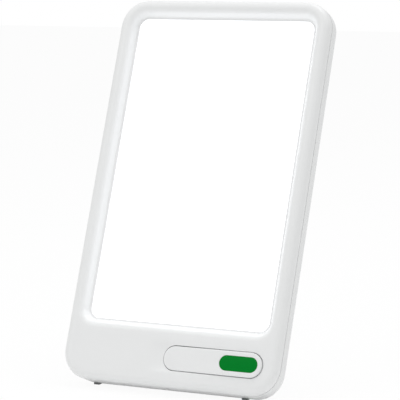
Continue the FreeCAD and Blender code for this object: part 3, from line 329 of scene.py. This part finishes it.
def laminate(name, colour, weave_mm):
    """Circuit board: solder mask over glass cloth, whose weave shows as a faint grid."""
    material, tree = new_material(name)
    place = add(tree, "ShaderNodeTexCoord").outputs["Object"]
    weave = add(tree, "ShaderNodeTexVoronoi", {"Scale": 1000 / weave_mm, "Randomness": 0.2}, Vector=place)
    tone = add(tree, "ShaderNodeMapRange", {"To Min": 0.9, "To Max": 1.08}, Value=weave.outputs["Distance"])
    base = add(tree, "ShaderNodeHueSaturation", {"Color": linear(colour)}, Value=tone.outputs["Result"])
    bump = add(tree, "ShaderNodeBump", {"Strength": 0.2, "Distance": 0.02 * MM},
               Height=weave.outputs["Distance"])
    shader = add(tree, "ShaderNodeBsdfPrincipled", {"Roughness": 0.35, "IOR": 1.5},
                 Base_Color=base.outputs["Color"], Normal=bump.outputs["Normal"])
    add(tree, "ShaderNodeOutputMaterial", Surface=shader.outputs["BSDF"])
    return material


def clear_sheet(name, colour):
    """Clear acrylic light guide with the fine dots on its back that let the light out."""
    material, tree = new_material(name)
    place = add(tree, "ShaderNodeTexCoord").outputs["Object"]
    dots = add(tree, "ShaderNodeTexVoronoi", {"Scale": 700.0, "Randomness": 0.1}, Vector=place)
    rough = add(tree, "ShaderNodeMapRange", {"From Max": 0.4, "To Min": 0.5, "To Max": 0.06},
                Value=dots.outputs["Distance"])
    shader = add(tree, "ShaderNodeBsdfPrincipled", {
        "Base Color": linear(colour), "IOR": 1.49, "Transmission Weight": 0.9,
    }, Roughness=rough.outputs["Result"])
    add(tree, "ShaderNodeOutputMaterial", Surface=shader.outputs["BSDF"])
    return material


# White ABS from a spark-eroded mould: satin, with a soft wide highlight
white_abs = moulded("white_satin_abs", "f0f1f1", 0.42, 0.45, 0.02)
# Green ABS, polished mould: a clearer highlight
green_abs = moulded("green_polished_abs", "007f2a", 0.3, 0.8, 0.006, tint=0.03, specular=0.05)
# Frosted acrylic panel, glowing
frosted_acrylic = glowing("frosted_acrylic_lit", "505357", "fbfcff", 1.6)
# Silicone rubber of the feet: dull and grey
grey_rubber = moulded("grey_silicone_rubber", "8a8b8c", 0.75, 0.3, 0.04, tint=0.06, specular=0.3)
black_nylon = moulded("black_nylon", "141416", 0.38, 0.5, 0.02, tint=0.1)
ivory_nylon = moulded("ivory_nylon", "e6e0cc", 0.45, 0.5, 0.02, tint=0.04)
lamp_resin = moulded("phosphor_resin", "f2e3a0", 0.35, 0.4, 0.01, tint=0.05)
film_white = moulded("white_reflector_film", "f7f7f6", 0.7, 0.6, 0.01)
wire_pvc = moulded("red_pvc_wire", "a8281f", 0.5, 0.4, 0.015, tint=0.06)
ferrite = moulded("ferrite_composite", "2b2c2e", 0.62, 0.25, 0.05, tint=0.12)
clear_acrylic = clear_sheet("clear_acrylic", "f4fafa")
board_green = laminate("green_glass_laminate", "1c5a33", 0.6)
board_white = laminate("white_glass_laminate", "eceae2", 0.6)
zinc_steel = bare_metal("zinc_plated_steel", "c3c5c8", 0.3, 0.15)
mill_aluminium = bare_metal("mill_finish_aluminium", "d0d2d4", 0.38, 0.2)
plated_brass = bare_metal("nickel_plated_brass", "d6ccab", 0.22, 0.2)

FINISH = {
    "light_guide": clear_acrylic, "reflector_sheet": film_white, "heat_tray": mill_aluminium,
    "lamp_strip_left": board_white, "lamp_strip_right": board_white,
    "lamps_left": lamp_resin, "lamps_right": lamp_resin,
    "rocker_pin": zinc_steel, "driver_board": board_green, "micro_switch": black_nylon,
    "switch_plunger": ivory_nylon, "supply_socket": black_nylon, "socket_contact": plated_brass,
    "socket_nut": zinc_steel, "power_inductor": ferrite, "driver_chip": black_nylon,
    "filter_capacitor": mill_aluminium, "output_capacitor": mill_aluminium,
    "connector_left": ivory_nylon, "connector_right": ivory_nylon, "connector_supply": ivory_nylon,
    "lamp_lead_left": wire_pvc, "lamp_lead_right": wire_pvc, "supply_lead": wire_pvc,
    "case_screws": zinc_steel, "tray_screws": zinc_steel, "board_screws": zinc_steel,
    "stand_pin": zinc_steel, "diffuser": frosted_acrylic,
    "front_cover": white_abs, "rear_cover": white_abs, "rocker_cap": white_abs, "rocker_inlay": green_abs,
    "stand_leg": white_abs, "stand_pad": grey_rubber, "foot_left": grey_rubber, "foot_right": grey_rubber,
}
for node, finish in FINISH.items():
    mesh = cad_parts[node].data
    mesh.materials.clear()
    mesh.materials.append(finish)


# Front cover

def front_cover():
    """The front as one skin: s runs round the outlines, t runs from the seam up the side wall, over
    the round edge, across the flat front, over the basin's rim, down its slope and round its floor
    to the window. It then gets its thickness inwards."""
    inset, depth = quarter(4.5, 11)
    outlines = [case_outline(0.0)] * 2 + [case_outline(i) for i in inset]
    depths = [SEAM_FRONT, 5.6] + list(depth)
    # Convex rim where the slope leaves the front plane: a circle of 5 mm tangent to both
    reach = 5 * math.tan(SLOPE / 2)
    turn = np.linspace(0, SLOPE, 9)
    rim_inset = -reach + 5 * np.sin(turn)
    rim_depth = 5 * (1 - np.cos(turn))
    # Concave floor round: a circle of 2 mm tangent to the slope and the floor
    floor_turn = np.linspace(SLOPE, 0, 7)
    floor_inset = WINDOW_INSET - 2 * np.sin(floor_turn)
    floor_depth = BASIN_DEPTH - 2 * (1 - np.cos(floor_turn))
    edge, start = outlines[-1], basin_outline(rim_inset[0])
    for share in (0.12, 0.5, 0.88):
        outlines.append(edge * (1 - share) + start * share)
        depths.append(0.0)
    for i, z in list(zip(rim_inset, rim_depth)) + list(zip(floor_inset, floor_depth)):
        outlines.append(basin_outline(i))
        depths.append(z)
    outlines.append(basin_outline(WINDOW_INSET))
    depths.append(BASIN_DEPTH + 1.0)
    skin = mesh_of("front_moulding", [(rings(outlines, depths), True)])
    wall = skin.modifiers.new("wall", "SOLIDIFY")
    wall.thickness = 1.9 * MM
    wall.offset = -1
    wall.use_even_offset = False
    cut(skin, rocker_hole())
    cut(skin, scoop())
    tongue = [case_outline(i) for i in (1.6, 1.6, 2.2, 2.2, 1.6)]
    join(skin, mesh_of("tongue", [(rings(tongue, [5.0, 9.2, 9.2, 5.0, 5.0]), True)]))
    return skin


def rocker_hole():
    """The cutter for the rocker's opening: a pill that flares out over the last 0.3 mm to the front
    along a quarter circle, so that the edge it leaves is softly rounded."""
    angle = np.linspace(0, np.pi / 2, 5)
    flare = 0.3 * (1 - np.sin(angle))
    outlines = [pill_outline(-ROCKER_GAP - 0.31)] + [pill_outline(-ROCKER_GAP - f) for f in flare]
    depths = [-1.0] + list(0.3 * (1 - np.cos(angle)))
    outlines.append(pill_outline(-ROCKER_GAP))
    depths.append(8.0)
    return mesh_of("rocker_hole", [(closed_rings(outlines, depths), True)])


def scoop():
    """The cutter for the finger scoop: t runs along it, from its left tip at the front's level down a
    straight ramp to 1.1 mm at the rocker's end, and back up beside the rocker. Across it, for v from
    -1 to 1, depth = deep(t) (1 - |v|^3): a shallow dish 19.2 mm wide, steepest at its sides."""
    v = np.linspace(-1, 1, 41)
    stations = ((-15.0, -0.06), (-13.0, 0.13), (-9.5, 0.47), (-6.0, 0.8), (-2.9, 1.1), (0.0, 0.98),
                (4.0, 0.7), (8.0, 0.36), (11.0, 0.12), (13.5, -0.06))
    rows = []
    for x, deep in stations:
        up = np.concatenate(([-9.6], 9.6 * v, [9.6]))
        down = np.concatenate(([-1.0], deep * (1 - np.abs(v) ** 3) - 0.01, [-1.0]))
        rows.append(np.column_stack((np.full(len(up), x), ROCKER_UP + up, down)))
    grid = np.stack(rows)
    first, last = (np.repeat(row[None].mean(1, keepdims=True), len(row), 1) for row in (grid[0], grid[-1]))
    return mesh_of("scoop", [(np.concatenate((first, grid, last)), True)])


# Rear cover

SIDE_ROUND, LOW_ROUND = 9.0, 3.0


def rear_outline(t, arc=16, side=24):
    """The back edge rounded unevenly: the radius is 9 mm along the sides and the top and 3 mm along
    the bottom, and changes evenly round each lower corner. t from 0 to 1 goes over the round."""
    full = case_outline(0.0, arc, side)
    radius = np.full(len(full), SIDE_ROUND)
    share = np.linspace(0, 1, arc + 1)
    radius[:arc + 1] = LOW_ROUND + (SIDE_ROUND - LOW_ROUND) * share
    corner = 3 * (arc + side)
    radius[corner:corner + arc + 1] = SIDE_ROUND + (LOW_ROUND - SIDE_ROUND) * share
    radius[corner + arc + 1:] = LOW_ROUND
    inner_centre = case_outline(CORNER - 0.001, arc, side)
    normal = full - inner_centre
    normal /= np.linalg.norm(normal, axis=1, keepdims=True)
    angle = t * np.pi / 2
    inset = radius * (1 - np.cos(angle))
    return full - normal * inset[:, None], DEPTH - radius * (1 - np.sin(angle))


def leg_tip(depth):
    """How high up the face the folded leg ends at a depth: its end is cut level with the ground when
    it stands, so a point t mm behind the hinge ends (t sin(lean)) / cos(lean) further down."""
    behind = depth - HINGE_DEPTH
    return HINGE_UP - (LEG_DROP + behind * math.sin(LEG_LEAN)) / math.cos(LEG_LEAN)


def recess_outline(margin, arc=16, side=24):
    """The recess that the folded leg lies in: 0.5 mm wider than the leg, with a round of 1 mm."""
    low = leg_tip(LEG_BACK) - 0.5
    return round_box(-24.5 - margin, 24.5 + margin, low - margin, 176.25 + margin, 1.0 + margin, arc, side)


def rear_cover():
    """The back as one skin: s runs round the outlines, t runs from the seam down the side wall, over
    the back's round edge, across the flat back, over the recess's edge, down its wall and across its
    floor to the floor's middle line. It then gets its thickness inwards."""
    outlines, depths = [case_outline(0.0)], [SEAM_BACK]
    for t in np.linspace(0, 1, 15):
        outline, depth = rear_outline(t)
        outlines.append(outline)
        depths.append(depth)
    edge, start = outlines[-1], recess_outline(0.5)
    for share in (0.1, 0.5, 0.9):
        outlines.append(edge * (1 - share) + start * share)
        depths.append(DEPTH)
    for angle in np.linspace(0, np.pi / 2, 5):
        outlines.append(recess_outline(0.5 - 0.5 * math.sin(angle)))
        depths.append(DEPTH - 0.5 * (1 - math.cos(angle)))
    floor = DEPTH - 5.0
    outlines += [recess_outline(0.0), recess_outline(-0.12), recess_outline(-0.5)]
    depths += [floor + 0.5, floor + 0.12, floor]
    grid = rings(outlines, depths)
    skin = mesh_of("rear_moulding", [(np.concatenate((grid, collapsed(grid[-1:]))), True)])
    wall = skin.modifiers.new("wall", "SOLIDIFY")
    wall.thickness = 1.75 * MM
    wall.offset = -1
    wall.use_even_offset = False
    return skin


def disc_outline(x, y, radius, count=64):
    """A circle: (x + r cos a, y + r sin a) for a once round."""
    angle = np.linspace(0, 2 * np.pi, count, endpoint=False)
    return np.stack((x + radius * np.cos(angle), y + radius * np.sin(angle)), -1)


def flared(outline, floor, soft=0.35, above=1.0):
    """A cutter: outline(margin) carried down to a floor, flaring out along a quarter circle of
    radius soft at the surface, so that the edge it leaves is rounded."""
    angle = np.linspace(0, np.pi / 2, 5)
    outlines = [outline(soft)] + [outline(soft * (1 - math.sin(a))) for a in angle]
    depths = [DEPTH + above] + [DEPTH - soft * (1 - math.cos(a)) for a in angle]
    outlines.append(outline(0.0))
    depths.append(floor)
    return (closed_rings(outlines, depths), True)


def under_skin(outline, below=1.0):
    """The depth of the middle of the back's skin at points of the face. With i how far a point is in
    from the edge and r the round's radius there, depth = 22 - r + sqrt(r^2 - (r - i)^2) - below."""
    out = np.maximum(np.abs(outline[:, 0]) - (WIDTH / 2 - CORNER), 0)
    down = np.maximum(CORNER - outline[:, 1], 0)
    up = np.maximum(outline[:, 1] - (HEIGHT - CORNER), 0)
    inset = CORNER - np.hypot(out, down + up)
    turn = np.arctan2(out, down) / (np.pi / 2)
    radius = np.where(down > 0, LOW_ROUND + (SIDE_ROUND - LOW_ROUND) * turn, SIDE_ROUND)
    drop = np.clip(radius - inset, 0, radius)
    return DEPTH - radius + np.sqrt(radius ** 2 - drop ** 2) - below


def tube(x, y, inner, outer, front, floor, hole=0.05):
    """A blind tube as one closed surface: t runs up the outside to the skin, over the lip, down the
    inside and in across the floor, then out again in front of the floor."""
    rows = [(outer, front), (outer, None), (inner, None), (inner, floor), (hole, floor), (hole, front),
            (outer, front)]
    circles = [disc_outline(x, y, radius) for radius, _ in rows]
    depths = [under_skin(circle) if depth is None else depth for circle, (_, depth) in zip(circles, rows)]
    return (rings(circles, depths), True)


WELLS = [(-68.0, 9.4), (68.0, 9.4), (-52.0, 259.0), (52.0, 259.0)]
SOCKET = (-56.0, 24.0)
NOTCH = (24.5, 26.0)
WELL_RADIUS, WELL_FLOOR = 2.7, 15.5


def rear_details(skin):
    """Cuts the screw wells, the socket's sink, the vents and the finger notch, and sets the tubes and
    the notch's cup that line them."""
    cutters = []
    for x, y in WELLS:
        cutters.append(flared(lambda m, x=x, y=y: disc_outline(x, y, WELL_RADIUS + m), WELL_FLOOR, above=3.0))
    cutters.append(flared(lambda m: disc_outline(*SOCKET, 5.7 + m), DEPTH - 1.4))
    cutters.append((closed_rings([disc_outline(*SOCKET, 4.1)] * 2, [DEPTH - 1.0, 15.0]), True))
    for step in range(11):
        x = (step - 5) * 5.0
        cutters.append(flared(lambda m, x=x: round_box(
            x - 0.9 - m, x + 0.9 + m, 213.0 - m, 231.0 + m, 0.89 + m, 8, 4), 18.0, soft=0.3))
    cut(skin, mesh_of("rear_cutters", cutters))
    notch = [flared(lambda m: disc_outline(*NOTCH, 9.0 + m, 96), 18.8, soft=0.4)]
    cut(skin, mesh_of("notch_cutter", notch))
    rim = disc_outline(*NOTCH, 10.4, 96)
    rim[:, 0] = np.maximum(rim[:, 0], 25.0)
    cup = mesh_of("notch_cup", [(closed_rings([rim, rim], [17.4, 21.0]), True)])
    cut(cup, mesh_of("cup_cutter", notch))
    join(skin, cup)
    linings = [tube(x, y, WELL_RADIUS, 4.0, 14.2, WELL_FLOOR, 1.5) for x, y in WELLS]
    linings.append(tube(*SOCKET, 4.1, 7.5, 19.3, 20.59, 4.1))
    join(skin, mesh_of("linings", linings))


def join(piece, other):
    """Adds another object's faces to a piece."""
    work = bmesh.new()
    work.from_mesh(piece.data)
    work.from_mesh(other.data)
    work.to_mesh(piece.data)
    work.free()
    bpy.data.objects.remove(other)


# Rocker

def rocker_cap():
    """The cap as one closed surface: s runs round its pill outline, t runs from the inlay's seat out
    over the top, round its edge, down the skirt, and back inside to under the top."""
    outlines = [inlay_outline(0.0), inlay_outline(0.0), inlay_outline(-0.12), inlay_outline(-0.3)]
    depths = [1.2, 0.15, 0.02, 0.0]
    outlines.append((inlay_outline(-0.3) + pill_outline(0.8)) / 2)
    depths.append(0.0)
    inset, depth = quarter(0.8, 8)
    outlines += [pill_outline(i) for i in inset[::-1]]
    depths += list(depth[::-1])
    outlines += [pill_outline(0.0), pill_outline(1.5), pill_outline(1.5)]
    depths += [4.5, 4.5, 2.4]
    return mesh_of("rocker_moulding", [(closed_rings(outlines, np.array(depths) + CAP_TOP), True)], with_rocker)


def inlay_outline(inset):
    """The green bar's pill, 2.6 mm in from the cap's right end."""
    right = ROCKER_X + ROCKER_LENGTH / 2 - 2.6
    return pill_outline(inset, BAR_LENGTH, BAR_HEIGHT, right - BAR_LENGTH / 2)


def rocker_inlay():
    """The green bar: a flat pill with a round edge of 0.18 mm, 0.05 mm in from its seat all round."""
    inset, depth = quarter(0.18, 5)
    outlines = [inlay_outline(0.05 + i) for i in inset[::-1]] + [inlay_outline(0.05)]
    depths = np.append(depth[::-1] + 0.01, 1.19) + CAP_TOP
    return mesh_of("green_bar", [(closed_rings(outlines, depths), True)], with_rocker)


# Diffuser

def diffuser():
    """The panel: a flat sheet with a round of 0.2 mm along its edges."""
    inset, depth = quarter(0.2, 4)
    margin = WINDOW_INSET - PANEL_OVERLAP
    side, low, high = WIDTH / 2 - BORDER - margin, BAND + margin, HEIGHT - BORDER - margin
    outline = lambda i: round_box(-side + i, side - i, low + i, high - i, 3.0 - i, 8, 20)
    outlines = [outline(i) for i in inset[::-1]] + [outline(i) for i in inset]
    depths = list(PANEL_FRONT + depth[::-1]) + list(PANEL_BACK - depth)
    return mesh_of("lit_panel", [(closed_rings(outlines, depths), True)])


# Stand and feet

LEG_END = leg_tip(HINGE_DEPTH)
PAD_TOP = LEG_END + 7.0


def straight_sides(corners, steps):
    """A closed outline of straight sides, each cut into even steps."""
    share = np.linspace(0, 1, steps + 1)[:-1, None]
    return np.concatenate([a * (1 - share) + b * share for a, b in zip(corners, np.roll(corners, -1, 0))])


def leg_outline(inset):
    """The folded leg's plan, six straight sides of 12 steps each: 40 mm wide where it meets the pad,
    widening straight to 48 mm near the hinge."""
    joint, heel = PAD_TOP, HINGE_UP + 2.7448
    taper = HINGE_UP - 8.4
    corners = [(-20.0, joint), (20.0, joint), (24.0, taper), (24.0, heel), (-24.0, heel), (-24.0, taper)]
    grow = [(1, 1), (-1, 1), (-1, 0), (-1, -1), (1, -1), (1, 0)]
    return straight_sides(np.array(corners) + inset * np.array(grow), 12)


def stand_leg():
    """The leg as one closed surface: s runs round its plan, t runs from the middle of the back trough
    out over the rim, round the edges of 0.6 mm and in across the front."""
    back, front = LEG_BACK, LEG_FRONT
    inset, rise = quarter(0.6, 6)
    outlines = [leg_trough(i) for i in (0.8, 0.4, 0.12, 0.0, -0.3)]
    depths = [back - 1.2, back - 1.1, back - 0.8, back - 0.3, back]
    for i, z in zip(inset[::-1], rise[::-1]):
        outlines.append(leg_outline(i))
        depths.append(back - z)
    for i, z in zip(inset, rise):
        outlines.append(leg_outline(i))
        depths.append(front + z)
    grid = rings(outlines, depths)
    spine = grid[-1:].copy()
    spine[..., 0] = 0
    start = grid[:1].copy()
    start[..., 0] = 0
    return mesh_of("leg_moulding", [(np.concatenate((start, grid, spine)), True)], with_stand)


def leg_trough(inset):
    """The trough in the leg's back: its plan follows the leg's, 7 mm in from every side."""
    joint = LEG_END + 14.0 + inset
    top = HINGE_UP - 15.4 - inset
    half = 13.0 - inset
    wide = 16.4 - inset
    return straight_sides(np.array([
        (-half, joint), (half, joint), (wide, top - 3), (wide - 3, top), (3 - wide, top), (-wide, top - 3),
    ]), 12)


def section_block(name, section, left, right, soft, place=lambda p: p):
    """A block with one section in (up, depth) carried from left to right: s runs round the section,
    t runs across, and the first and last steps draw the section in for a rounded end."""
    section = np.asarray(section, float)
    middle = section.mean(0)
    loop = straight_sides(section, 6)
    reach = np.abs(loop - middle).max(0)
    angle = np.linspace(0, np.pi / 2, 5)
    ends = [(left, soft)] + [(left + soft * (1 - math.cos(a)), soft * (1 - math.sin(a))) for a in angle[1:]]
    ends += [(right - (x - left), i) for x, i in ends[::-1]]
    grid = []
    for x, inset in [(left, reach.max())] + ends + [(right, reach.max())]:
        scale = np.clip(1 - inset / reach, 0, 1)
        ring = middle + (loop - middle) * scale
        grid.append(np.column_stack((np.full(len(loop), x), ring)))
    return mesh_of(name, [(np.stack(grid), True)], place)


def foot(name, x):
    """A foot: a rubber block let 1.3 mm into the bottom edge and cut level with the ground."""
    level = lambda depth: (GROUND + depth * SIN) / COS
    section = [(level(FOOT_FRONT), FOOT_FRONT), (level(FOOT_BACK), FOOT_BACK),
               (FOOT_SEAT, FOOT_BACK), (FOOT_SEAT, FOOT_FRONT)]
    return section_block(name, section, x - FOOT_WIDTH / 2, x + FOOT_WIDTH / 2, 0.35)


def stand_pad():
    """The leg's end: a rubber block as thick as the leg, 7 mm high, cut level with the ground."""
    section = [(leg_tip(LEG_FRONT), LEG_FRONT), (leg_tip(LEG_BACK), LEG_BACK),
               (PAD_TOP, LEG_BACK), (PAD_TOP, LEG_FRONT)]
    return section_block("pad_rubber", section, -20.0, 20.0, 0.5, with_stand)


rear = rear_cover()
rear_details(rear)
finished(rear, white_abs, "lamp", "rear_cover")
finished(front_cover(), white_abs, "lamp", "front_cover")
finished(rocker_cap(), white_abs, "rocker", "rocker_cap")
finished(rocker_inlay(), green_abs, "rocker", "rocker_inlay")
finished(diffuser(), frosted_acrylic, "lamp", "diffuser")
finished(stand_leg(), white_abs, "stand", "stand_leg")
finished(stand_pad(), grey_rubber, "stand", "stand_pad")
finished(foot("foot_left_rubber", -57.5), grey_rubber, "lamp", "foot_left")
finished(foot("foot_right_rubber", 51.0), grey_rubber, "lamp", "foot_right")


# Camera: fitted to the case's outline in the photograph

def camera():
    """Looks at a point of the front from 1.27 m away, 26 degrees to the right and 7 degrees above."""
    aim, rise, lens = 0.449674779, 0.122837338, 36 * 1957.32746 / 400
    right = Vector((math.cos(aim), math.sin(aim), 0))
    forward = Vector((-math.sin(aim) * math.cos(rise), math.cos(aim) * math.cos(rise), -math.sin(rise)))
    above = right.cross(forward)
    target = right * 24.2038312 + above * 120.467977
    eye = target - forward * 1266.92614
    place = Matrix((
        (right.x, above.x, -forward.x, eye.x),
        (right.y, above.y, -forward.y, eye.y + SHIFT),
        (right.z, above.z, -forward.z, eye.z - GROUND),
        (0, 0, 0, 1),
    ))
    data = bpy.data.cameras.new("camera")
    data.lens = lens
    data.sensor_width = 36
    data.clip_start, data.clip_end = 0.01, 20
    item = bpy.data.objects.new("camera", data)
    place.translation *= MM
    item.matrix_world = place
    bpy.context.scene.collection.objects.link(item)
    bpy.context.scene.camera = item


def soft_light(name, place, aim, size, power):
    """A round soft box of a size in metres, turned towards a point."""
    data = bpy.data.lights.new(name, "AREA")
    data.shape = "DISK"
    data.size = size
    data.energy = power
    item = bpy.data.objects.new(name, data)
    turn = (Vector(aim) - Vector(place)).to_track_quat("-Z", "Y")
    item.matrix_world = Matrix.Translation(place) @ turn.to_matrix().to_4x4()
    bpy.context.scene.collection.objects.link(item)


def studio():
    """A pale floor, and a world that is white to the camera and a plain grey light to the object."""
    material, tree = new_material("pale_floor_paint")
    rays = add(tree, "ShaderNodeLightPath")
    seen = add(tree, "ShaderNodeMath", {"operation": "MAXIMUM"},
               i0=rays.outputs["Is Camera Ray"], i1=rays.outputs["Is Glossy Ray"])
    seen = add(tree, "ShaderNodeMath", {"operation": "MAXIMUM"},
               i0=seen.outputs[0], i1=rays.outputs["Is Transmission Ray"])
    amount = add(tree, "ShaderNodeMath", {"operation": "MULTIPLY", 1: 0.93}, i0=seen.outputs[0])
    body = add(tree, "ShaderNodeBsdfDiffuse", {"Color": linear("fafafa")})
    white = add(tree, "ShaderNodeEmission", {"Color": (1, 1, 1, 1), "Strength": 1.0})
    mix = add(tree, "ShaderNodeMixShader", (),
              Fac=amount.outputs[0], i1=body.outputs[0], i2=white.outputs[0])
    add(tree, "ShaderNodeOutputMaterial", Surface=mix.outputs[0])
    mesh = bpy.data.meshes.new("floor")
    mesh.from_pydata([(-6, -6, 0), (6, -6, 0), (6, 6, 0), (-6, 6, 0)], [], [(0, 1, 2, 3)])
    mesh.materials.append(material)
    floor = bpy.data.objects.new("floor", mesh)
    bpy.context.scene.collection.objects.link(floor)
    world = bpy.data.worlds.new("studio")
    world.use_nodes = True
    bpy.context.scene.world = world
    tree = world.node_tree
    tree.nodes.clear()
    rays = add(tree, "ShaderNodeLightPath")
    plain = add(tree, "ShaderNodeBackground", {"Color": (1, 1, 1, 1), "Strength": 0.65})
    white = add(tree, "ShaderNodeBackground", {"Color": (1, 1, 1, 1), "Strength": 1.0})
    mix = add(tree, "ShaderNodeMixShader", (),
              Fac=rays.outputs["Is Camera Ray"], i1=plain.outputs[0], i2=white.outputs[0])
    add(tree, "ShaderNodeOutputWorld", Surface=mix.outputs[0])
    soft_light("key_softbox", (-0.6, -0.75, 1.25), (0, 0, 0.12), 0.9, 3.0)
    soft_light("top_softbox", (0.2, 0.25, 1.6), (0, 0, 0.12), 1.0, 8)


camera()
studio()
bpy.context.scene.view_settings.view_transform = "Standard"
